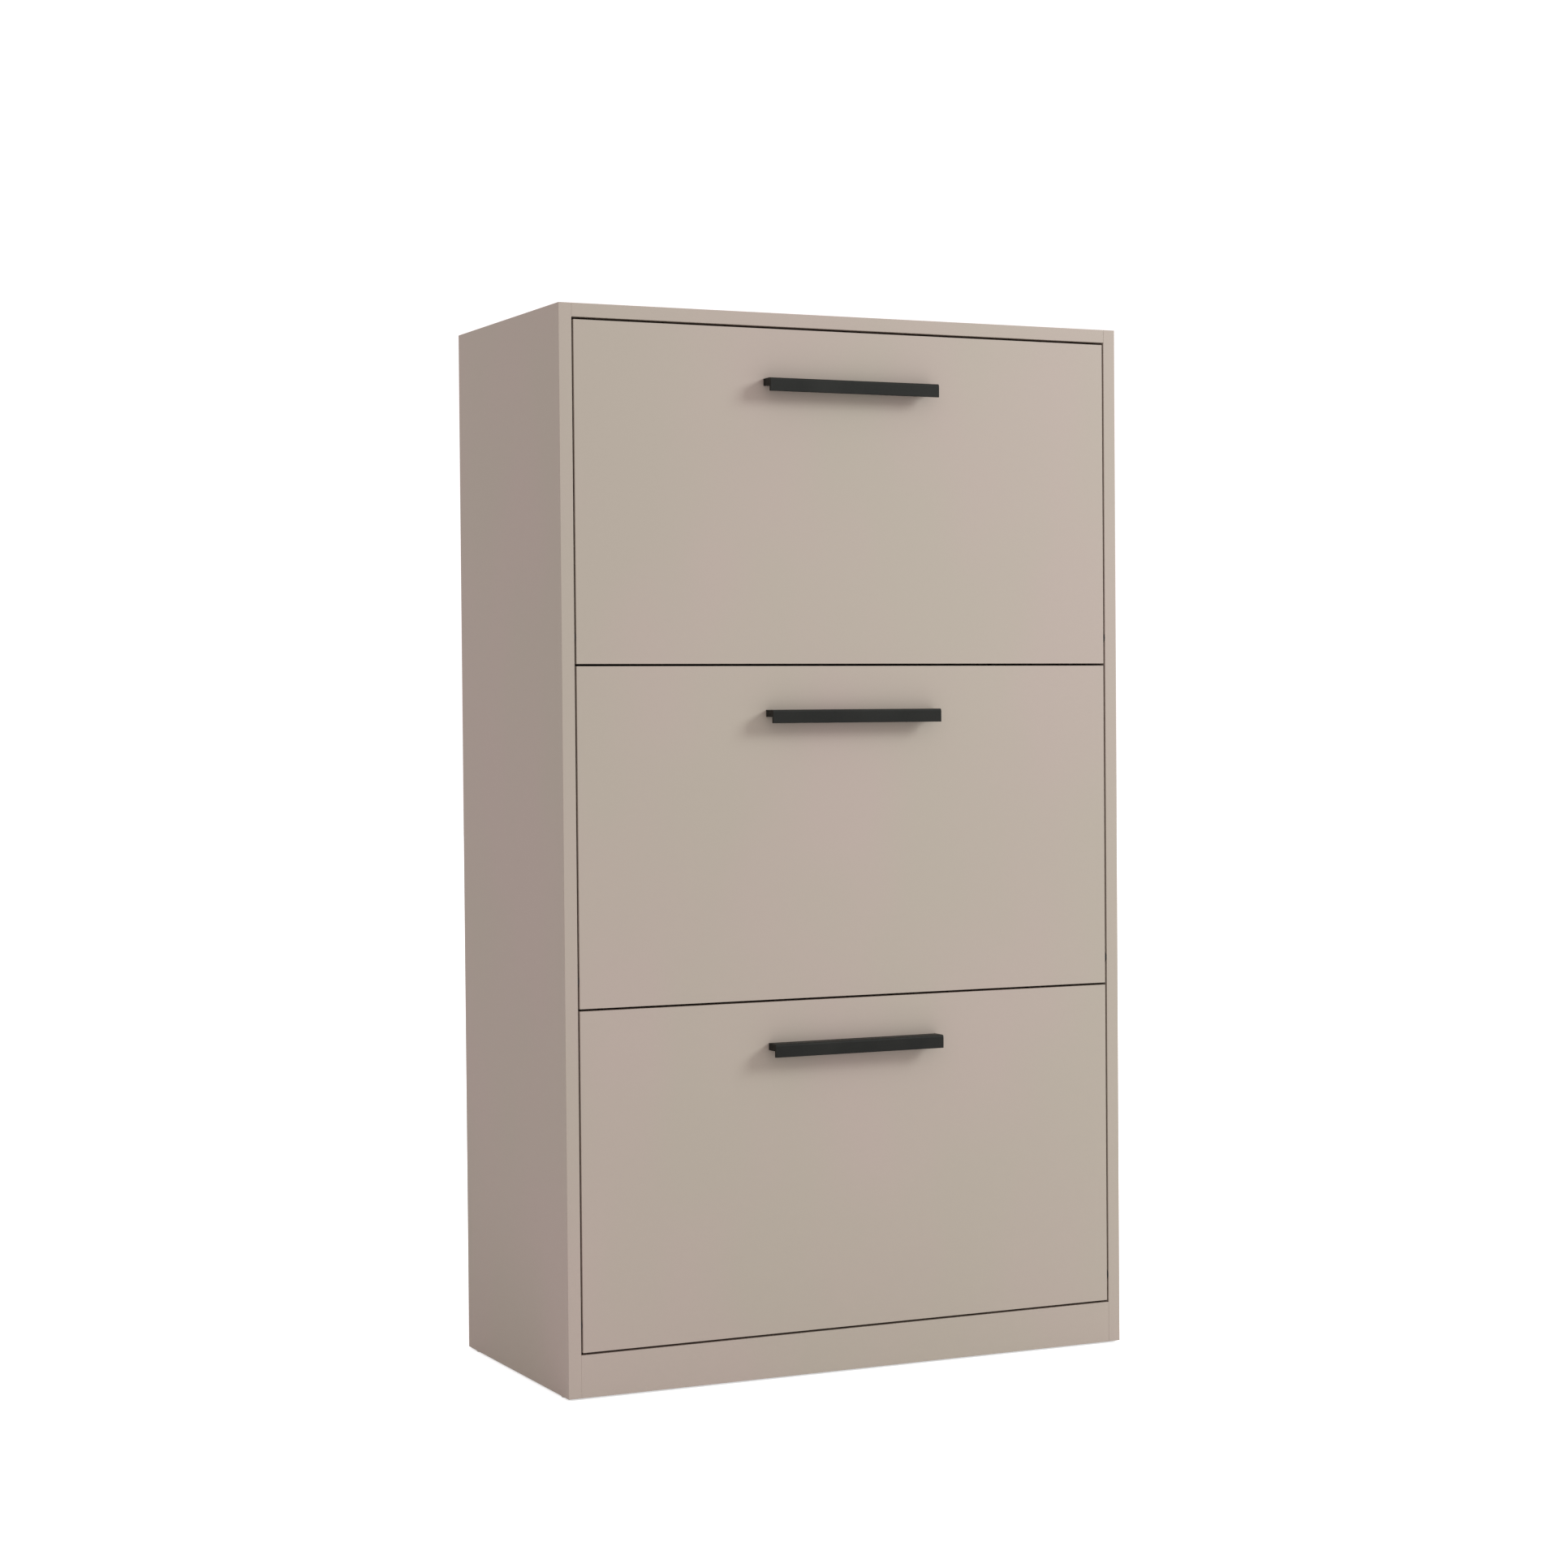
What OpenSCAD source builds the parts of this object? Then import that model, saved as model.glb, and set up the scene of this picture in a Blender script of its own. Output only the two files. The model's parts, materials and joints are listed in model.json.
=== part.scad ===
// Shoe cabinet with three tilt-out compartments.
// Millimetres, +Z up. The front faces -Y and the origin is the bottom centre of the whole object.
// Rows are counted from the top: 0 top, 1 middle, 2 bottom.

/* [Carcass] */
// Outside width of the carcass
carcass_w = 700; // [560:10:900]
// Depth of the carcass without the handles
carcass_d = 325; // [320:1:380]
// Thickness of the carcass and flap boards
board_t = 15; // [15:1:18]
// Height of the plinth board between the sides
plinth_h = 47; // [40:1:90]
// Height of the floor glides under the sides
glide_h = 2; // [2:0.5:5]
// Thickness of the hardboard back
back_t = 3; // [2.5:0.5:4]
// Height of the rear rails
rear_rail_h = 80; // [60:5:120]
// Depth of the stop rails behind the flaps
stop_rail_d = 50; // [40:1:60]

/* [Flaps] */
// Height of one flap
flap_h = 374; // [370:1:400]
// Gap between flaps, and between a flap and the plinth
flap_gap = 2.5; // [1.5:0.25:4]
// Gap between the top flap and the top board
top_gap = 2.75; // [2:0.25:4]
// Gap between a flap and each side
side_gap = 2.25; // [1.5:0.25:3]
// Height of the pivot above the bottom edge of its flap
pivot_rise = 30; // [26:1:40]
// Angle that a flap tilts out to
open_angle = 40; // [30:1:42]
// Radius of the pivot pins
pin_r = 3; // [2.5:0.5:3]

/* [Handles] */
// Length of a handle
handle_l = 212; // [150:1:260]
// Distance that a handle stands out from its flap
handle_depth = 19; // [16:0.5:24]
// Height of a handle's front lip
handle_lip_h = 15; // [12:0.5:20]
// Distance between the two screws of a handle
handle_pitch = 192; // [128:32:192]
// Distance from the top edge of each flap to its handle, top row first
handle_drop = [56, 49, 46]; // [30:1:90]

/* [Tilt-out racks] */
// Thickness of a rack's plastic side plates
plate_t = 4; // [3:0.5:5]
// Room between a side plate and the side of the carcass
plate_room = 8; // [6:0.5:10]
// Slope of the shelves, down towards the back when the flap is shut
shelf_slope = 25; // [22:1:27]
// Length of a shelf from front to back
shelf_l = 280; // [240:1:281]
// Thickness of a shelf
shelf_t = 9; // [6:0.5:10]
// Height of each shelf's front edge above the pivot, lower shelf first
shelf_front_z = [93, 212]; // [90:1:220]
// Height of the heel stop at the back of each shelf
stop_h = 50; // [30:1:52]
// Thickness of the heel stops
stop_t = 6; // [4:0.5:8]

/* [Hidden] */
ROW_NAMES = ["top", "middle", "bottom"];
ROWS = [0 : 2];
CARCASS_NODES = [
    "side_panel_left", "side_panel_right", "top_panel", "bottom_panel", "plinth_front", "plinth_rear",
    "back_panel", "pivot_bushings", "guide_pegs", "flap_bumpers", "cam_bolts", "cam_discs",
    "wood_dowels", "back_nails", "floor_glides"
];
ROW_NODES = [
    "rear_rail", "stop_rail", "flap_panel", "flap_handle", "flap_handle_screws", "flap_pivot_pins",
    "flap_side_plate_left", "flap_side_plate_right", "flap_lower_shelf", "flap_upper_shelf",
    "flap_lower_heel_stop", "flap_upper_heel_stop", "flap_rack_screws"
];

$fn = 48;
eps = 0.01;

TAUPE = "#bcb0a4";
HARDBOARD = "#b3a28c";
HANDLE_BLACK = "#2b2b29";
RACK_BLACK = "#333436";
ZINC = "#b9bcc0";
BEECH = "#d8b88a";
NYLON = "#e6e4df";
RUBBER = "#8f8f8d";

// Places of the carcass
inner_half = carcass_w / 2 - board_t;
front_y = handle_depth - (carcass_d + handle_depth) / 2;
rear_y = front_y + carcass_d;
row_pitch = flap_h + flap_gap;
plinth_top = glide_h + plinth_h;
top_z = plinth_top + 3 * row_pitch + top_gap + board_t;
floor_mid_z = plinth_top - board_t / 2;
top_mid_z = top_z - board_t / 2;

// The back sits in a rebate and leaves room for the nail heads
rebate_d = back_t + 1;
rebate_w = board_t / 2;
back_front_y = rear_y - rebate_d;
rear_rail_y = [back_front_y - board_t, back_front_y];
rear_rail_mid_y = back_front_y - board_t / 2;
back_z = [plinth_top - board_t, top_z - rebate_w];
floor_z = [plinth_top - board_t, plinth_top];

// Places of the flaps and their pivots
pivot_y = front_y + board_t / 2;
flap_half = inner_half - side_gap;
function flap_z(row) = plinth_top + flap_gap + (2 - row) * row_pitch;
function flap_top(row) = flap_z(row) + flap_h;
function pivot_z(row) = flap_z(row) + pivot_rise;

// Bumpers, and the stop rails that carry them
bumper_t = 0.9;
bumper_r = 5;
bumper_x = 0.36 * carcass_w;
bumper_room = 0.1;
stop_rail_y = front_y + board_t + bumper_t + bumper_room;

// Rear rails: one under the top, and one behind each joint between two flaps
function rear_rail_mid_z(row) =
    row == 0 ? top_z - board_t - rear_rail_h / 2 : flap_top(row) + flap_gap / 2;

// Wall fixing holes through the upper rear rail and the back
wall_hole_r = 3;
wall_hole_pitch = 400;

// Radial room of a running or loose fit
fit_room = 0.05;

// Pivot pins and their bushings
pin_embed = 25;
pin_reach = 9.5;
bushing_r = 5;
bushing_l = 11;
bushing_floor = 0.5;
bushing_flange_r = 7;
bushing_flange_t = 1;

// Guide pegs in the sides run in an arc slot of each side plate
peg_path_r = 175;
peg_angle = 58;
peg_y = peg_path_r * cos(peg_angle);
peg_z = peg_path_r * sin(peg_angle);
peg_r = 4;
peg_shank_r = 3.5;
peg_embed = 10;
peg_head_r = 7;
peg_head_t = 2.5;
peg_head_room = 1.5;
slot_room = 0.3;

// Rack side plates, in the plane of the pivot: y backwards and z up from the pivot
plate_out_x = inner_half - plate_room;
plate_in_x = plate_out_x - plate_t;
plate_back_r = 331;
plate_outline = [
    [board_t / 2, -22], [board_t / 2, 252], [52, 252], [300, 164], [294, 0], [282, -28], [40, -28]
];
plate_corner_r = [2, 12, 20, 4, 16, 10, 10];
flange_w = 22;
flange_t = 4;
ledge_w = 10;
ledge_t = 3;
ledge_room = 0.2;
shelf_front_y = board_t / 2 + flange_t + 2;
shelf_half = plate_in_x - 0.3;

// Screws
rack_screw_r = 1.75;
rack_screw_head_r = 3.5;
rack_screw_head_h = 2.2;
flange_screw_l = 15;
flange_screw_z = [12, 150, 228];
flange_end = 14;
shelf_screw_l = 24;
shelf_screw_s = [40, 240];
handle_screw_r = 2;
handle_screw_head_r = 4;
handle_screw_head_h = 2.5;
handle_screw_grip = 9;
recess_share = 0.6;
recess_depth = 0.4;

// Handle section
handle_flange_t = 3;
handle_lip_t = 3;
handle_block_w = handle_l - handle_pitch;
handle_block_h = 8;

// Cam fittings and dowels
cam_inset = 24;
cam_r = 7.5;
cam_pocket_h = 13;
cam_disc_h = 12;
cam_sink = 0.5;
cam_bolt_r = 3;
cam_bore_r = 3.5;
cam_thread_r = 2.5;
cam_thread_l = 11;
cam_bolt_past_centre = 2;
dowel_r = 4;
dowel_embed = 20;
dowel_side_embed = 12;
dowel_room = 0.5;

// Glides, and the nails of the back
glide_r = 7;
glide_nail_r = 1;
glide_nail_l = 12;
glide_sites = [front_y + 25, rear_y - 25];
nail_r = 0.7;
nail_l = 14;
nail_head_r = 2;
nail_head_t = 0.6;
nails_across = 8;
nails_up = 10;
nail_end_space = 30;

// Joint sites, as [y, z] on the inner face of a side
top_cams = [[front_y + 50, top_mid_z], [rear_y - 60, top_mid_z]];
top_dowels = [[front_y + 110, top_mid_z], [rear_y - 120, top_mid_z]];
floor_cams = [[front_y + 66, floor_mid_z], [rear_y - 60, floor_mid_z]];
floor_dowels = [[front_y + 126, floor_mid_z], [rear_y - 120, floor_mid_z]];
plinth_front_cams = [[front_y + board_t / 2, glide_h + 14]];
plinth_front_dowels = [[front_y + board_t / 2, glide_h + 36]];
plinth_rear_cams = [[rear_rail_mid_y, glide_h + 12]];
plinth_rear_dowels = [[rear_rail_mid_y, glide_h + 26]];
function rear_rail_cams(row) = [[rear_rail_mid_y, rear_rail_mid_z(row) - 22]];
function rear_rail_dowels(row) = [[rear_rail_mid_y, rear_rail_mid_z(row) + 22]];
function stop_rail_cams(row) = [[stop_rail_y + 36, flap_top(row) - board_t / 2]];
function stop_rail_dowels(row) = [[stop_rail_y + 12, flap_top(row) - board_t / 2]];
flat_cams = concat(top_cams, floor_cams, [for (row = ROWS) each stop_rail_cams(row)]);
upright_cams =
    concat(plinth_front_cams, plinth_rear_cams, [for (row = ROWS) each rear_rail_cams(row)]);
all_dowels = concat(
    top_dowels, floor_dowels, plinth_front_dowels, plinth_rear_dowels,
    [for (row = ROWS) each rear_rail_dowels(row)], [for (row = ROWS) each stop_rail_dowels(row)]
);

// Points of a round corner at b, between the edges to a and c
function unit(v) = v / norm(v);
function short_turn(angle) = angle > 180 ? angle - 360 : angle < -180 ? angle + 360 : angle;
function round_corner(a, b, c, r, steps = 6) =
    let (
        to_a = unit(a - b),
        to_c = unit(c - b),
        half = acos(to_a * to_c) / 2,
        centre = b + unit(to_a + to_c) * r / sin(half),
        first = b + to_a * r / tan(half) - centre,
        last = b + to_c * r / tan(half) - centre,
        start = atan2(first.y, first.x),
        turn = short_turn(atan2(last.y, last.x) - start)
    )
    [for (k = [0 : steps]) centre + r * [cos(start + turn * k / steps), sin(start + turn * k / steps)]];
function rounded(points, radii) =
    let (n = len(points))
    [for (i = [0 : n - 1])
        each round_corner(points[(i + n - 1) % n], points[i], points[(i + 1) % n], radii[i])];

// Placing and drilling
module both_sides() {
    children();
    mirror([1, 0, 0]) children();
}

module at_pivot(row) {
    translate([0, pivot_y, pivot_z(row)]) children();
}

// A flat shape drawn in y and z becomes a slab from x to x + t
module slab_x(x, t) {
    translate([x, 0, 0]) rotate([90, 0, 90]) linear_extrude(t) children();
}

module rod_x(x, r, l, y = 0, z = 0) {
    translate([x, y, z]) rotate([0, 90, 0]) cylinder(r = r, h = l);
}

// Board from x0 to x1, y0 to y1 and z0 to z1
module board(x, y, z) {
    translate([x[0], y[0], z[0]]) cube([x[1] - x[0], y[1] - y[0], z[1] - z[0]]);
}

// Cross recess for a driver, in a head of radius head_r whose top is at the origin
module cross_recess(head_r) {
    r = recess_share * head_r;
    for (turn = [0, 90])
        rotate([0, 0, turn]) translate([-r, -r / 4, -eps]) cube([2 * r, r / 2, recess_depth * r + eps]);
}

// Bores in both ends of a board; upright boards take their cams from the back, flat ones from below
module end_bores(cams, dowels, upright) {
    both_sides() {
        for (site = cams) {
            rod_x(inner_half - cam_inset, cam_bore_r, cam_inset + 1, site[0], site[1]);
            translate([inner_half - cam_inset, site[0], site[1]])
                rotate([upright ? 90 : 0, 0, 0])
                    translate([0, 0, -board_t / 2 - 1]) cylinder(r = cam_r, h = cam_pocket_h + 1);
        }
        for (site = dowels)
            rod_x(inner_half - dowel_embed, dowel_r, dowel_embed + 1, site[0], site[1]);
    }
}

module cross_board(y, z, cams, dowels, upright = false) {
    color(TAUPE) difference() {
        board([-inner_half, inner_half], y, z);
        end_bores(cams, dowels, upright);
    }
}

// Carcass
module side_panel() {
    difference() {
        board([inner_half, carcass_w / 2], [front_y, rear_y], [glide_h, top_z]);
        board([inner_half - 1, inner_half + rebate_w], [back_front_y, rear_y + 1], back_z);
        for (site = concat(flat_cams, upright_cams))
            rod_x(inner_half - 1, cam_thread_r + fit_room, cam_thread_l + 1, site[0], site[1]);
        for (site = all_dowels)
            rod_x(inner_half - 1, dowel_r, dowel_side_embed + 1, site[0], site[1]);
        for (row = ROWS) at_pivot(row) {
            rod_x(inner_half - 1, bushing_r, bushing_l + 1);
            rod_x(inner_half - 1, peg_shank_r, peg_embed + 1, peg_y, peg_z);
        }
        for (y = glide_sites) translate([inner_half + board_t / 2, y, glide_h - 1])
            cylinder(r = glide_nail_r, h = glide_nail_l + 1);
        back_nail_holes();
    }
}

module side_panel_right() {
    color(TAUPE) side_panel();
}

module side_panel_left() {
    color(TAUPE) mirror([1, 0, 0]) side_panel();
}

module top_panel() {
    difference() {
        cross_board([front_y, rear_y], [top_z - board_t, top_z], top_cams, top_dowels);
        board([-carcass_w, carcass_w], [back_front_y, rear_y + 1], back_z);
        back_nail_holes();
    }
}

module bottom_panel() {
    difference() {
        cross_board([front_y + board_t, back_front_y], floor_z, floor_cams, floor_dowels);
        back_nail_holes();
    }
}

module plinth_front() {
    z = [glide_h, plinth_top];
    cross_board([front_y, front_y + board_t], z, plinth_front_cams, plinth_front_dowels, true);
}

module plinth_rear() {
    z = [glide_h, floor_z[0]];
    cross_board(rear_rail_y, z, plinth_rear_cams, plinth_rear_dowels, true);
}

module wall_holes() {
    for (x = [-0.5, 0.5] * wall_hole_pitch)
        translate([x, rear_y, rear_rail_mid_z(0)]) rotate([90, 0, 0])
            cylinder(r = wall_hole_r, h = 2 * board_t);
}

module rear_rail(row) {
    mid = rear_rail_mid_z(row);
    z = [mid - rear_rail_h / 2, mid + rear_rail_h / 2];
    difference() {
        cross_board(rear_rail_y, z, rear_rail_cams(row), rear_rail_dowels(row), true);
        if (row == 0) wall_holes();
        back_nail_holes();
    }
}

module stop_rail(row) {
    y = [stop_rail_y, stop_rail_y + stop_rail_d];
    z = [flap_top(row) - board_t, flap_top(row)];
    cross_board(y, z, stop_rail_cams(row), stop_rail_dowels(row));
}

module back_panel() {
    half = inner_half + rebate_w;
    color(HARDBOARD) difference() {
        board([-half, half], [back_front_y, back_front_y + back_t], back_z);
        wall_holes();
        back_nail_holes();
    }
}

// Puts its children at every nail, on the back face of the back panel, with +Z into the board
module back_nail_sites() {
    low = back_z[0] + board_t / 2;
    high = back_z[1] - 4;
    first = low + nail_end_space;
    step = (high - first - nail_end_space) / (nails_up - 1);
    for (k = [0 : nails_across - 1], z = concat([low, high], [for (row = ROWS) rear_rail_mid_z(row)]))
        nail_place((2 * k + 1 - nails_across) * inner_half / nails_across, z) children();
    for (k = [0 : nails_up - 1], side = [-1, 1])
        nail_place(side * (inner_half + rebate_w / 2), first + k * step) children();
}

module nail_place(x, z) {
    translate([x, back_front_y + back_t, z]) rotate([90, 0, 0]) children();
}

module back_nail_holes() {
    back_nail_sites() cylinder(r = nail_r, h = nail_l);
}

module back_nails() {
    color(ZINC) back_nail_sites() {
        cylinder(r = nail_r, h = nail_l);
        translate([0, 0, -nail_head_t]) cylinder(r = nail_head_r, h = nail_head_t);
    }
}

module floor_glides() {
    color(NYLON) both_sides() for (y = glide_sites)
        translate([inner_half + board_t / 2, y, 0]) {
            cylinder(r1 = glide_r - 1, r2 = glide_r, h = glide_h);
            cylinder(r = glide_nail_r, h = glide_h + glide_nail_l - 1);
        }
}

module pivot_bushings() {
    color(RACK_BLACK) both_sides() for (row = ROWS) at_pivot(row) difference() {
        union() {
            rod_x(inner_half, bushing_r, bushing_l);
            rod_x(inner_half - bushing_flange_t, bushing_flange_r, bushing_flange_t);
        }
        rod_x(inner_half - 2, pin_r + fit_room, bushing_l + 2 - bushing_floor);
    }
}

module guide_pegs() {
    head_x = plate_in_x - peg_head_room - peg_head_t;
    color(ZINC) both_sides() for (row = ROWS) at_pivot(row) translate([0, peg_y, peg_z])
        difference() {
            union() {
                rod_x(head_x, peg_head_r, peg_head_t);
                rod_x(head_x, peg_r, inner_half - head_x);
                rod_x(inner_half - 1, peg_shank_r, peg_embed + 1);
            }
            translate([head_x, 0, 0]) rotate([0, 90, 0]) cross_recess(peg_head_r);
        }
}

module flap_bumpers() {
    color(RUBBER) both_sides() for (row = ROWS)
        translate([bumper_x, stop_rail_y, flap_top(row) - board_t / 2]) rotate([90, 0, 0])
            cylinder(r = bumper_r, h = bumper_t);
}

module cam_disc() {
    difference() {
        translate([0, 0, cam_sink - board_t / 2]) cylinder(r = cam_r - 2 * fit_room, h = cam_disc_h);
        rod_x(-cam_bolt_past_centre - 1.5, cam_bore_r, cam_r + 4);
        translate([0, 0, cam_sink - board_t / 2]) cross_recess(cam_r);
    }
}

module cam_discs() {
    color(ZINC) both_sides() {
        for (site = flat_cams) translate([inner_half - cam_inset, site[0], site[1]]) cam_disc();
        for (site = upright_cams)
            translate([inner_half - cam_inset, site[0], site[1]]) rotate([90, 0, 0]) cam_disc();
    }
}

module cam_bolts() {
    start = inner_half - cam_inset - cam_bolt_past_centre;
    color(ZINC) both_sides() for (site = concat(flat_cams, upright_cams)) {
        rod_x(start, cam_bolt_r, inner_half - start, site[0], site[1]);
        rod_x(inner_half - 1, cam_thread_r, cam_thread_l + 0.5, site[0], site[1]);
    }
}

module wood_dowels() {
    length = dowel_embed + dowel_side_embed - 2 * dowel_room;
    color(BEECH) both_sides() for (site = all_dowels)
        rod_x(inner_half - dowel_embed + dowel_room, dowel_r, length, site[0], site[1]);
}

// Flaps
module flap_panel(row) {
    color(TAUPE) difference() {
        board([-flap_half, flap_half], [front_y, front_y + board_t], [flap_z(row), flap_top(row)]);
        both_sides() {
            at_pivot(row) {
                rod_x(flap_half - pin_embed, pin_r, pin_embed + 1);
                flange_screw_sites() flange_screw();
            }
            handle_screw_site(row) rotate([90, 0, 0])
                cylinder(r = handle_screw_r, h = 3 * board_t, center = true);
        }
    }
}

module flap_pivot_pins(row) {
    color(ZINC) both_sides() at_pivot(row)
        rod_x(flap_half - pin_embed, pin_r, pin_embed + side_gap + pin_reach);
}

// Handles: an angle section with a solid block at each end for its screw
function handle_section() = rounded(
    [
        [0, 0], [-handle_depth, 0], [-handle_depth, -handle_lip_h],
        [handle_lip_t - handle_depth, -handle_lip_h], [handle_lip_t - handle_depth, -handle_flange_t],
        [0, -handle_flange_t]
    ],
    [0.3, 2.5, 0.8, 0.8, 1, 0.3]
);

function handle_z(row) = flap_top(row) - handle_drop[row];

module handle_screw_site(row) {
    translate([handle_pitch / 2, front_y, handle_z(row) - handle_block_h / 2]) children();
}

module handle_block() {
    x = [handle_l / 2 - handle_block_w, handle_l / 2];
    board(x, [handle_lip_t / 2 - handle_depth, 0], [-handle_block_h, -handle_flange_t / 2]);
}

module flap_handle(row) {
    color(HANDLE_BLACK) difference() {
        translate([0, front_y, handle_z(row)]) {
            slab_x(-handle_l / 2, handle_l) polygon(handle_section());
            both_sides() handle_block();
        }
        both_sides() handle_screw_site(row) rotate([90, 0, 0])
            translate([0, 0, -1]) cylinder(r = handle_screw_r + fit_room, h = handle_screw_grip + 2);
    }
}

module flap_handle_screws(row) {
    length = board_t + handle_screw_grip;
    color(ZINC) both_sides() handle_screw_site(row) rotate([90, 0, 0]) translate([0, 0, -board_t])
        pan_screw(handle_screw_r, length, handle_screw_head_r, handle_screw_head_h);
}

// Racks
module on_shelf(tier) {
    translate([0, shelf_front_y, shelf_front_z[tier]]) rotate([-shelf_slope, 0, 0]) children();
}

module plate_shape() {
    intersection() {
        circle(r = plate_back_r, $fn = 180);
        polygon(rounded(plate_outline, plate_corner_r));
    }
}

module slot_shape() {
    low = peg_angle - open_angle;
    half = peg_r + slot_room;
    difference() {
        circle(r = peg_path_r + half, $fn = 180);
        circle(r = peg_path_r - half, $fn = 180);
        rotate(peg_angle) translate([-2 * peg_path_r, 0]) square(4 * peg_path_r);
        rotate(low - 180) translate([-2 * peg_path_r, 0]) square(4 * peg_path_r);
    }
    for (angle = [low, peg_angle])
        translate(peg_path_r * [cos(angle), sin(angle)]) circle(r = half);
}

// Ledges that hold the end of a shelf and its heel stop
module shelf_ledges(tier) {
    x = [plate_in_x - ledge_w, plate_in_x + plate_t / 2];
    under = -ledge_room - ledge_t;
    over = shelf_t + ledge_room;
    before_stop = shelf_l - stop_t - ledge_room;
    behind_stop = shelf_l + ledge_room;
    on_shelf(tier) {
        board(x, [0, behind_stop + ledge_t], [under, -ledge_room]);
        board(x, [0, before_stop], [over, over + ledge_t]);
        board(x, [before_stop - ledge_t, before_stop], [over, shelf_t + stop_h]);
        board(x, [behind_stop, behind_stop + ledge_t], [under, shelf_t + stop_h]);
    }
}

module flange_screw_sites() {
    for (z = flange_screw_z)
        translate([plate_in_x - flange_w / 2, board_t / 2 + flange_t, z]) children();
}

// Countersunk screw, head flush with its origin, pointing to the front
module flange_screw() {
    rotate([90, 0, 0]) {
        cylinder(r1 = rack_screw_head_r, r2 = rack_screw_r, h = rack_screw_head_h);
        cylinder(r = rack_screw_r, h = flange_screw_l);
    }
}

module shelf_screw_sites() {
    for (tier = [0, 1], s = shelf_screw_s) on_shelf(tier)
        translate([plate_out_x, s, shelf_t / 2]) rotate([0, -90, 0]) children();
}

// Screw with a domed head above its origin, pointing along +Z
module pan_screw(r, l, head_r, head_h) {
    difference() {
        union() {
            cylinder(r = r, h = l);
            translate([0, 0, -head_h]) cylinder(r1 = head_r - 1, r2 = head_r, h = head_h);
        }
        translate([0, 0, -head_h]) cross_recess(head_r);
    }
}

module side_plate_flange() {
    x = [plate_in_x - flange_w, plate_in_x + plate_t / 2];
    z = [flange_screw_z[0] - flange_end, flange_screw_z[2] + flange_end];
    board(x, [board_t / 2, board_t / 2 + flange_t], z);
}

module side_plate(row) {
    at_pivot(row) difference() {
        union() {
            slab_x(plate_in_x, plate_t) plate_shape();
            side_plate_flange();
            for (tier = [0, 1]) shelf_ledges(tier);
        }
        slab_x(plate_in_x - 1, plate_t + 2) slot_shape();
        flange_screw_sites() flange_screw();
        shelf_screw_sites() cylinder(r = rack_screw_r, h = 3 * plate_t, center = true);
    }
}

module flap_side_plate_right(row) {
    color(RACK_BLACK) side_plate(row);
}

module flap_side_plate_left(row) {
    color(RACK_BLACK) mirror([1, 0, 0]) side_plate(row);
}

module flap_shelf(row, tier) {
    color(TAUPE) at_pivot(row) difference() {
        on_shelf(tier) board([-shelf_half, shelf_half], [0, shelf_l], [0, shelf_t]);
        both_sides() shelf_screw_sites() cylinder(r = rack_screw_r, h = shelf_screw_l);
    }
}

module flap_heel_stop(row, tier) {
    color(TAUPE) at_pivot(row) on_shelf(tier)
        board([-shelf_half, shelf_half], [shelf_l - stop_t, shelf_l], [shelf_t, shelf_t + stop_h]);
}

module flap_rack_screws(row) {
    color(ZINC) both_sides() at_pivot(row) {
        shelf_screw_sites()
            pan_screw(rack_screw_r, shelf_screw_l, rack_screw_head_r, rack_screw_head_h);
        flange_screw_sites() difference() {
            flange_screw();
            rotate([90, 0, 0]) cross_recess(rack_screw_head_r);
        }
    }
}

side_panel_left();
side_panel_right();
top_panel();
bottom_panel();
plinth_front();
plinth_rear();
back_panel();
pivot_bushings();
guide_pegs();
flap_bumpers();
cam_bolts();
cam_discs();
wood_dowels();
back_nails();
floor_glides();
for (row = ROWS) {
    name = ROW_NAMES[row];
    rear_rail(row);
    stop_rail(row);
    flap_panel(row);
    flap_handle(row);
    flap_handle_screws(row);
    flap_pivot_pins(row);
    flap_side_plate_left(row);
    flap_side_plate_right(row);
    flap_shelf(row, 0);
    flap_shelf(row, 1);
    flap_heel_stop(row, 0);
    flap_heel_stop(row, 1);
    flap_rack_screws(row);
}
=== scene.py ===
"""Looks of the shoe cabinet: matt taupe board, black handles, dark plastic racks, and its studio."""

import json
import math

import bpy
from mathutils import Matrix, Vector

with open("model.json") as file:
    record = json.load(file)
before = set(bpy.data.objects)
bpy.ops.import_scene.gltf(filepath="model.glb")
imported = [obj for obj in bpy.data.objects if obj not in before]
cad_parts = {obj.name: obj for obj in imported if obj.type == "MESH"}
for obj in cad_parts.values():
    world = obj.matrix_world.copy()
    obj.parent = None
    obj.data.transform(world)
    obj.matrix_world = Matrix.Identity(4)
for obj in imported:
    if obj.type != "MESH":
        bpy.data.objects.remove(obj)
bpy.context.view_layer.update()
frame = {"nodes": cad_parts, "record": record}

MM = 0.001
NODES = frame["nodes"]
ROWS = ("top", "middle", "bottom")
SIDES = ("left", "right")

# Colours, linear
TAUPE_ROSE = (0.454, 0.370, 0.325)
TAUPE_SAND = (0.438, 0.377, 0.316)
TAUPE_SHADE = (0.395, 0.335, 0.285)
CHIP_LIGHT = (0.56, 0.40, 0.24)
CHIP_DARK = (0.27, 0.16, 0.08)
FIBRE_LIGHT = (0.27, 0.150, 0.075)
FIBRE_DARK = (0.15, 0.078, 0.036)
POWDER_BLACK = (0.0095, 0.0095, 0.0080)
POWDER_BLACK_WORN = (0.0155, 0.0152, 0.0130)
RACK_BLACK = (0.026, 0.027, 0.029)
RACK_BLACK_DEEP = (0.019, 0.020, 0.021)
ZINC = (0.60, 0.62, 0.65)
ZINC_CLOUD = (0.47, 0.49, 0.53)
NYLON = (0.78, 0.77, 0.73)
NYLON_DEEP = (0.70, 0.69, 0.65)
RUBBER = (0.36, 0.36, 0.35)
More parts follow.
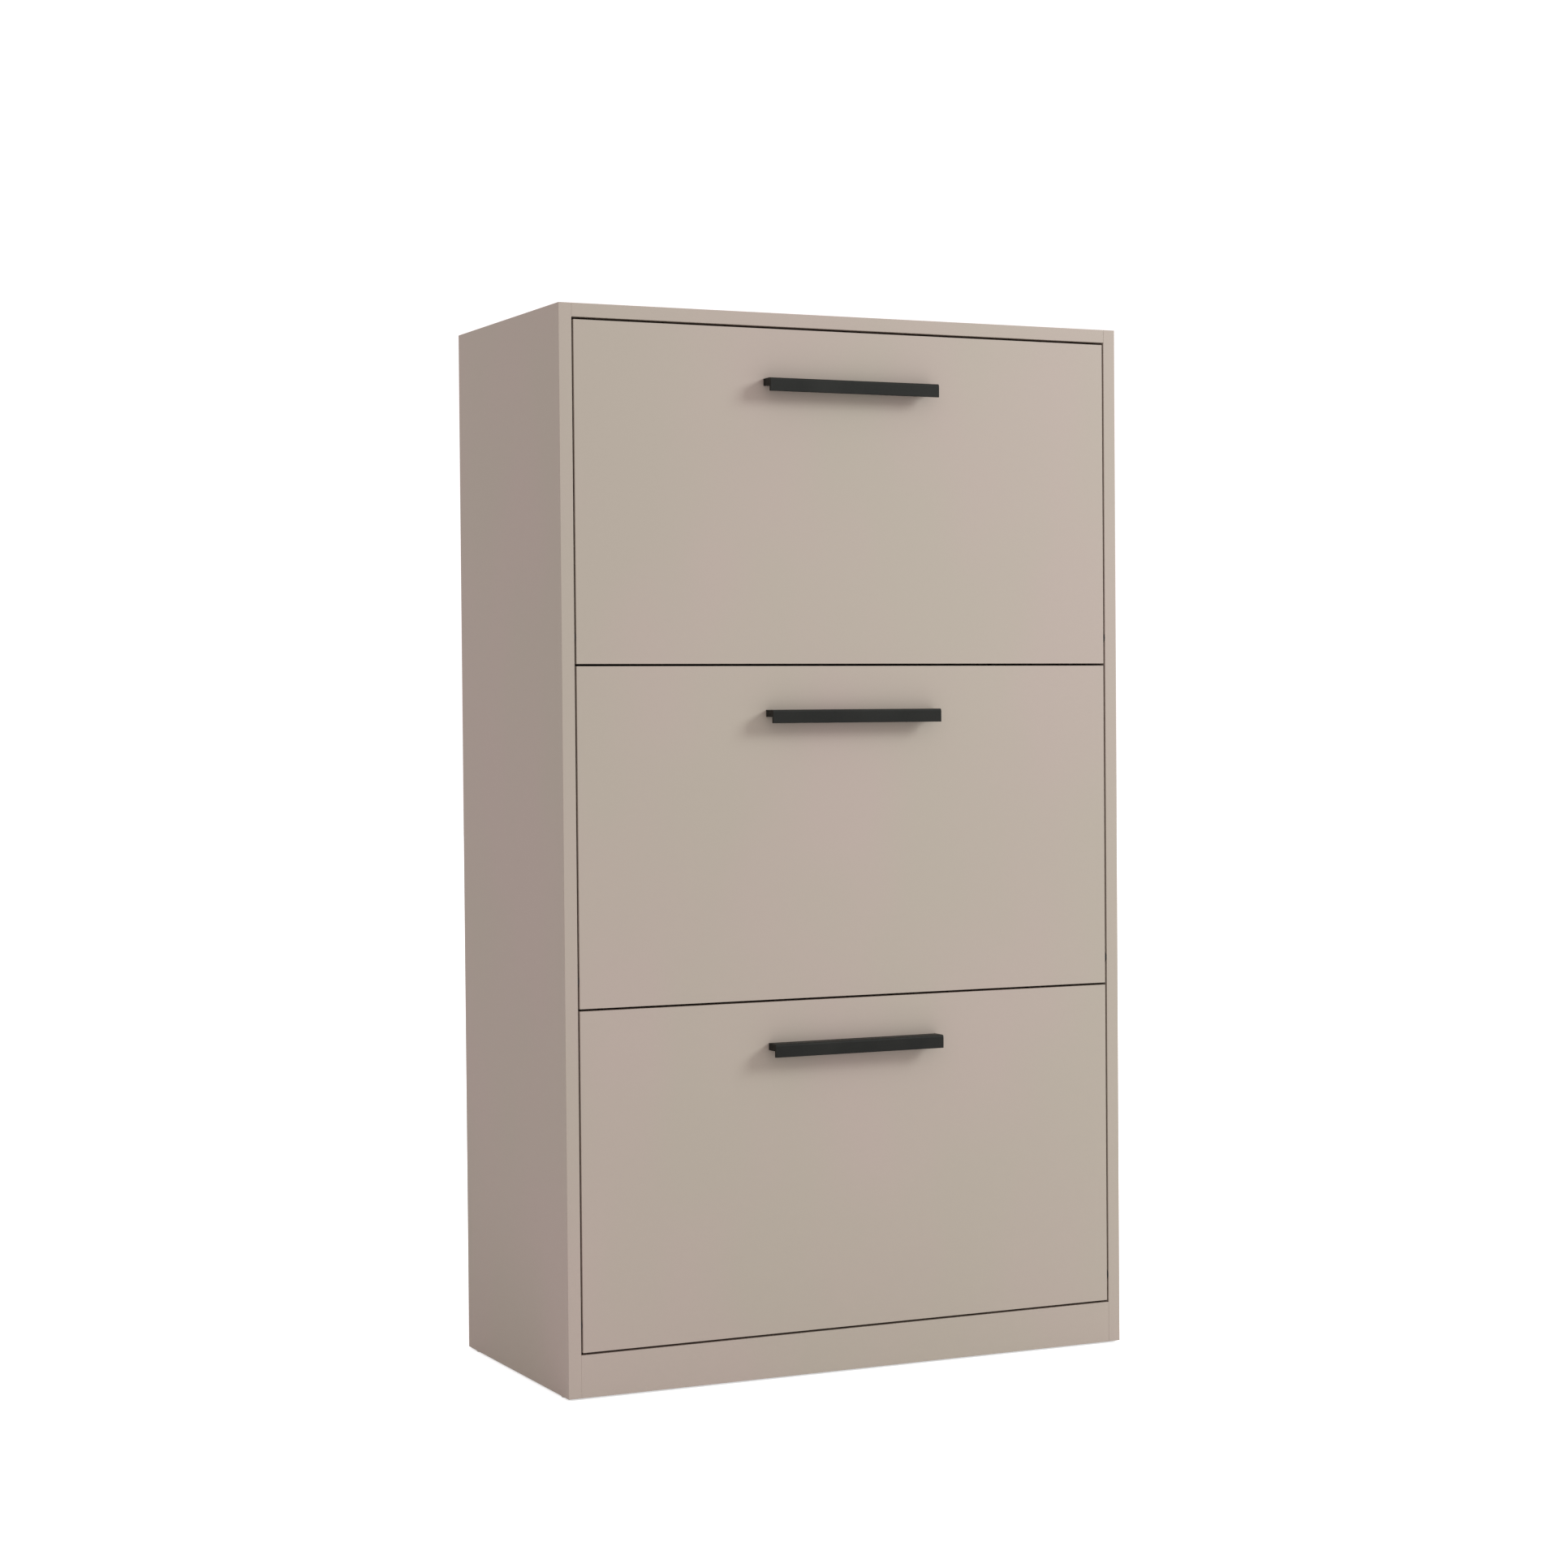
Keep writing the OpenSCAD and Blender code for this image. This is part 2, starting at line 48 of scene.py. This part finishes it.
RUBBER_DEEP = (0.30, 0.30, 0.29)
BEECH = (0.62, 0.43, 0.25)
BEECH_DARK = (0.45, 0.29, 0.16)
WHITE = (1.0, 1.0, 1.0)
WARM_SKY = (1.0, 0.945, 0.95)
COOL_KEY = (0.90, 1.0, 0.995)

# Patterns: how many features there are to a metre
CLOUDS = 5.5
DRIFTS = 1.7
BOARD_GRAIN = 1500.0
BOARD_SHEEN = 260.0
CHIPS = 520.0
SAW_DUST = 2400.0
FIBRES = 700.0
FIBRE_PATCHES = 9.0
POWDER_DRIFTS = 18.0
POWDER_SHEEN = 400.0
ORANGE_PEEL = 1700.0
PLASTIC_DRIFTS = 40.0
PLASTIC_SHEEN = 500.0
SPARK_TEXTURE = 2200.0
ZINC_CLOUDS = 300.0
ZINC_SHEEN = 700.0
ZINC_GRAIN = 1500.0
BEECH_GRAIN = 160.0

# Where the board's clouds lie, and their scale upwards, where less than 1 makes them taller
CLOUD_SHIFT = (7.1, 3.3, 5.2)
CLOUD_UPWARDS = 0.6


# Materials
class Shader:
    """A material with a Principled surface, and short calls to add its pattern nodes."""

    def __init__(self, name, roughness, metallic=0.0, specular=0.5):
        self.material = bpy.data.materials.new(name)
        self.material.use_nodes = True
        self.tree = self.material.node_tree
        self.surface = self.tree.nodes["Principled BSDF"]
        self.surface.inputs["Roughness"].default_value = roughness
        self.surface.inputs["Metallic"].default_value = metallic
        self.surface.inputs["Specular IOR Level"].default_value = specular
        self.place = self.add("ShaderNodeTexCoord").outputs["Object"]

    def add(self, kind, **inputs):
        node = self.tree.nodes.new(kind)
        for name, value in inputs.items():
            self.put(value, node.inputs[name.replace("_", " ")])
        return node

    def put(self, value, socket):
        if isinstance(value, bpy.types.NodeSocket):
            self.tree.links.new(value, socket)
        elif socket.type == "RGBA":
            socket.default_value = (*value, 1.0)
        else:
            socket.default_value = value

    def stretched(self, x, y, z, shift=(0, 0, 0)):
        node = self.add("ShaderNodeMapping", Vector=self.place, Location=shift, Scale=(x, y, z))
        return node.outputs["Vector"]

    def noise(self, scale, detail=3.0, place=None):
        node = self.add("ShaderNodeTexNoise", Vector=place or self.place, Scale=scale, Detail=detail)
        return node.outputs["Fac"]

    def ranged(self, value, low, high, start=0.3, end=0.7):
        """Turns values from start to end into values from low to high."""
        node = self.add("ShaderNodeMapRange", Value=value, From_Min=start, From_Max=end)
        self.put(low, node.inputs["To Min"])
        self.put(high, node.inputs["To Max"])
        return node.outputs["Result"]

    def mix(self, factor, first, second):
        node = self.tree.nodes.new("ShaderNodeMix")
        node.data_type = "RGBA"
        self.put(factor, node.inputs["Factor"])
        first_colour, second_colour = (socket for socket in node.inputs if socket.type == "RGBA")
        self.put(first, first_colour)
        self.put(second, second_colour)
        return next(socket for socket in node.outputs if socket.type == "RGBA")

    def math(self, operation, first, second):
        node = self.tree.nodes.new("ShaderNodeMath")
        node.operation = operation
        self.put(first, node.inputs[0])
        self.put(second, node.inputs[1])
        return node.outputs[0]

    def facing(self, axis, sign):
        """1 where the surface faces along axis, and 0 elsewhere."""
        normal = self.add("ShaderNodeNewGeometry").outputs["Normal"]
        along = self.add("ShaderNodeSeparateXYZ", Vector=normal).outputs[axis]
        return self.math("GREATER_THAN", self.math("MULTIPLY", along, sign), 0.7)

    def colour(self, value):
        self.put(value, self.surface.inputs["Base Color"])

    def roughness(self, value):
        self.put(value, self.surface.inputs["Roughness"])

    def bump(self, height, strength, depth):
        node = self.add("ShaderNodeBump", Height=height, Strength=strength, Distance=depth)
        self.put(node.outputs["Normal"], self.surface.inputs["Normal"])


def taupe(s):
    """The matt board face: broad rose and sand clouds, slow darker drifts, and a fine grain."""
    cloud_place = s.stretched(1.0, 1.0, CLOUD_UPWARDS, CLOUD_SHIFT)
    clouds = s.ranged(s.noise(CLOUDS, 2.0, cloud_place), 0.0, 1.0, 0.38, 0.62)
    drifts = s.ranged(s.noise(DRIFTS, 1.0), 0.0, 0.22)
    grain = s.ranged(s.noise(BOARD_GRAIN, 2.0), 0.0, 0.10)
    face = s.mix(clouds, TAUPE_ROSE, TAUPE_SAND)
    face = s.mix(drifts, face, TAUPE_SHADE)
    return s.mix(grain, face, TAUPE_SHADE)


def chipboard(s):
    """A sawn edge: pressed chips, each of its own tone, long along the board."""
    chip_place = s.stretched(0.45, 1.0, 0.45)
    chips = s.add("ShaderNodeTexVoronoi", Vector=chip_place, Scale=CHIPS, Randomness=1.0)
    tone = s.add("ShaderNodeSeparateColor", Color=chips.outputs["Color"]).outputs["Red"]
    dust = s.ranged(s.noise(SAW_DUST, 3.0), 0.0, 0.5)
    wood = s.mix(tone, CHIP_LIGHT, CHIP_DARK)
    return s.mix(dust, wood, CHIP_LIGHT), chips.outputs["Distance"]


def board_material():
    """Melamine board whose edges are all banded."""
    s = Shader("taupe_board", roughness=0.52, specular=0.35)
    s.colour(taupe(s))
    s.roughness(s.ranged(s.noise(BOARD_SHEEN, 3.0), 0.48, 0.58))
    s.bump(s.noise(BOARD_GRAIN, 2.0), 0.12, 0.05 * MM)
    return s.material


def raw_backed_board_material():
    """The same board with its rear edge left as sawn chipboard, as it stands against the wall."""
    s = Shader("taupe_board_raw_rear", roughness=0.52, specular=0.35)
    wood, relief = chipboard(s)
    sawn = s.facing("Y", 1.0)
    s.colour(s.mix(sawn, taupe(s), wood))
    s.roughness(s.ranged(sawn, 0.53, 0.9, 0.0, 1.0))
    s.bump(s.math("MULTIPLY", relief, sawn), 0.5, 0.3 * MM)
    return s.material


def handle_material():
    """Powder-coated black metal with a fine orange peel, a little greyer in places."""
    s = Shader("black_metal", roughness=0.55, specular=0.18)
    s.colour(s.mix(s.ranged(s.noise(POWDER_DRIFTS), 0.0, 1.0), POWDER_BLACK, POWDER_BLACK_WORN))
    s.roughness(s.ranged(s.noise(POWDER_SHEEN), 0.48, 0.62))
    s.bump(s.noise(ORANGE_PEEL, 2.0), 0.3, 0.05 * MM)
    return s.material


def plastic_material(name, colour, deep, roughness):
    """Moulded plastic with a fine spark-eroded texture."""
    s = Shader(name, roughness=roughness, specular=0.4)
    s.colour(s.mix(s.ranged(s.noise(PLASTIC_DRIFTS), 0.0, 1.0), colour, deep))
    s.roughness(s.ranged(s.noise(PLASTIC_SHEEN), roughness - 0.06, roughness + 0.06))
    s.bump(s.noise(SPARK_TEXTURE, 2.0), 0.35, 0.06 * MM)
    return s.material


def zinc_material():
    """Bright zinc plating, slightly cloudy."""
    s = Shader("zinc_steel", roughness=0.3, metallic=1.0)
    s.colour(s.mix(s.ranged(s.noise(ZINC_CLOUDS), 0.0, 1.0), ZINC, ZINC_CLOUD))
    s.roughness(s.ranged(s.noise(ZINC_SHEEN), 0.22, 0.40))
    s.bump(s.noise(ZINC_GRAIN), 0.1, 0.03 * MM)
    return s.material


def hardboard_material():
    """Pressed fibre, brown behind, printed taupe on the side that faces the shoes."""
    s = Shader("hardboard", roughness=0.72, specular=0.25)
    threads = s.noise(FIBRES, 5.0, s.stretched(1.0, 1.0, 1.8))
    patches = s.noise(FIBRE_PATCHES, 3.0)
    brown = s.mix(s.ranged(threads, 0.0, 1.0, 0.35, 0.65), FIBRE_LIGHT, FIBRE_DARK)
    brown = s.mix(s.ranged(patches, 0.0, 0.35), brown, FIBRE_DARK)
    s.colour(s.mix(s.facing("Y", -1.0), brown, taupe(s)))
    s.roughness(s.ranged(threads, 0.62, 0.82))
    s.bump(threads, 0.4, 0.12 * MM)
    return s.material


def beech_material():
    """Turned beech with its grain along the dowel."""
    s = Shader("beech", roughness=0.6, specular=0.3)
    grain = s.noise(BEECH_GRAIN, 4.0, s.stretched(0.1, 1.0, 1.0))
    s.colour(s.mix(s.ranged(grain, 0.0, 1.0), BEECH, BEECH_DARK))
    s.roughness(s.ranged(grain, 0.5, 0.7))
    s.bump(grain, 0.2, 0.1 * MM)
    return s.material


# Dressing and softening the CAD nodes
LOOKS = {
    "taupe_board": board_material(),
    "hardboard": hardboard_material(),
    "black_metal": handle_material(),
    "black_plastic": plastic_material("black_plastic", RACK_BLACK, RACK_BLACK_DEEP, 0.5),
    "zinc_steel": zinc_material(),
    "nylon": plastic_material("nylon", NYLON, NYLON_DEEP, 0.45),
    "bumper_rubber": plastic_material("bumper_rubber", RUBBER, RUBBER_DEEP, 0.6),
    "beech": beech_material(),
}
RAW_BACKED = raw_backed_board_material()
RAW_BACKED_NODES = ("side_panel_left", "side_panel_right", "top_panel", "bottom_panel")


def dress(node, look):
    mesh = NODES[node].data
    mesh.materials.clear()
    mesh.materials.append(look)


BOARD_EDGE = 0.4 * MM
METAL_EDGE = 0.25 * MM
PLASTIC_EDGE = 0.35 * MM
JOIN_WITHIN = 0.002 * MM
FLAT_WITHIN = math.radians(0.2)
SHARP_FROM = math.radians(50)


def soften(node, width):
    """Rounds a node's sharp edges by width. Its faces are joined up first, so only real edges change."""
    piece = NODES[node]
    weld = piece.modifiers.new("join_faces", "WELD")
    weld.merge_threshold = JOIN_WITHIN
    flatten = piece.modifiers.new("flatten", "DECIMATE")
    flatten.decimate_type = "DISSOLVE"
    flatten.angle_limit = FLAT_WITHIN
    bevel = piece.modifiers.new("soft_edges", "BEVEL")
    bevel.width = width
    bevel.segments = 2
    bevel.limit_method = "ANGLE"
    bevel.angle_limit = SHARP_FROM
    bevel.use_clamp_overlap = False
    shade = piece.modifiers.new("clean_shading", "WEIGHTED_NORMAL")
    shade.keep_sharp = False


for part in frame["record"]["subparts"]:
    dress(part["node"], LOOKS[part["material_slot"]])
for name in RAW_BACKED_NODES:
    dress(name, RAW_BACKED)

for name in (*RAW_BACKED_NODES, "plinth_front", "plinth_rear"):
    soften(name, BOARD_EDGE)
for row in ROWS:
    for board in (f"{row}_flap_panel", f"{row}_stop_rail", f"{row}_rear_rail"):
        soften(board, BOARD_EDGE)
    soften(f"{row}_flap_handle", METAL_EDGE)
    for side in SIDES:
        soften(f"{row}_flap_side_plate_{side}", PLASTIC_EDGE)
    for tier in ("lower", "upper"):
        soften(f"{row}_flap_{tier}_shelf", PLASTIC_EDGE)
        soften(f"{row}_flap_{tier}_heel_stop", PLASTIC_EDGE)


# Studio
SKY_LIGHT = 0.77
SKY_SEEN = 1.12
FLOOR_GLOW = 0.65
FLOOR_GREY = (0.80, 0.80, 0.80)
FLOOR_HALF = 15.0
KEY_PLACE = (3.9, -2.6, 2.9)
KEY_TARGET = (0, -0.15, 0.7)
KEY_SIZE = 1.6
KEY_WATTS = 171
CAMERA_PLACE = (-1.580, -3.326, 0.7516)
CAMERA_YAW, CAMERA_PITCH, CAMERA_ROLL = (math.radians(angle) for angle in (-25.235, -1.338, -0.464))
CAMERA_LENS = 71.78
CAMERA_SENSOR = 36.0


def seen_by_camera(tree):
    return tree.nodes.new("ShaderNodeLightPath").outputs["Is Camera Ray"]


def add_floor():
    """A pale floor that reads white to the camera, with a trace of shadow where the cabinet stands."""
    mesh = bpy.data.meshes.new("floor")
    corners = [(x * FLOOR_HALF, y * FLOOR_HALF, 0) for x, y in ((-1, -1), (1, -1), (1, 1), (-1, 1))]
    mesh.from_pydata(corners, [], [(0, 1, 2, 3)])
    floor = bpy.data.objects.new("floor", mesh)
    bpy.context.collection.objects.link(floor)
    s = Shader("floor", roughness=0.7, specular=0.1)
    s.colour(FLOOR_GREY)
    s.put(WHITE, s.surface.inputs["Emission Color"])
    glow = s.math("MULTIPLY", seen_by_camera(s.tree), FLOOR_GLOW)
    s.put(glow, s.surface.inputs["Emission Strength"])
    mesh.materials.append(s.material)


def add_world():
    """An even surround: a soft, slightly warm light on the cabinet, and pure white to the camera."""
    world = bpy.data.worlds.new("studio")
    world.use_nodes = True
    background = world.node_tree.nodes["Background"]
    background.inputs["Color"].default_value = (*WARM_SKY, 1.0)
    strength = world.node_tree.nodes.new("ShaderNodeMapRange")
    strength.inputs["To Min"].default_value = SKY_LIGHT
    strength.inputs["To Max"].default_value = SKY_SEEN
    world.node_tree.links.new(seen_by_camera(world.node_tree), strength.inputs["Value"])
    world.node_tree.links.new(strength.outputs["Result"], background.inputs["Strength"])
    bpy.context.scene.world = world


def add_key_light():
    """A soft box high on the right, which throws the handles' shadows down to the left."""
    light = bpy.data.lights.new("key", "AREA")
    light.color = COOL_KEY
    light.size = KEY_SIZE
    light.energy = KEY_WATTS
    lamp = bpy.data.objects.new("key", light)
    bpy.context.collection.objects.link(lamp)
    lamp.location = KEY_PLACE
    lamp.rotation_euler = (Vector(KEY_TARGET) - Vector(KEY_PLACE)).to_track_quat("-Z", "Y").to_euler()


def add_camera():
    """Stands about 3.5 m away, to the left of the cabinet, at two thirds of its height."""
    level = Vector((math.cos(CAMERA_YAW), math.sin(CAMERA_YAW), 0))
    ahead = Vector((-math.sin(CAMERA_YAW), math.cos(CAMERA_YAW), 0))
    forward = ahead * math.cos(CAMERA_PITCH) + Vector((0, 0, math.sin(CAMERA_PITCH)))
    up = level.cross(forward)
    right = level * math.cos(CAMERA_ROLL) + up * math.sin(CAMERA_ROLL)
    top = up * math.cos(CAMERA_ROLL) - level * math.sin(CAMERA_ROLL)
    data = bpy.data.cameras.new("camera")
    data.sensor_width = CAMERA_SENSOR
    data.lens = CAMERA_LENS
    camera = bpy.data.objects.new("camera", data)
    bpy.context.collection.objects.link(camera)
    turn = Matrix((right, top, -forward)).transposed().to_4x4()
    camera.matrix_world = Matrix.Translation(CAMERA_PLACE) @ turn
    bpy.context.scene.camera = camera


add_floor()
add_world()
add_key_light()
add_camera()
bpy.context.scene.view_settings.view_transform = "Standard"
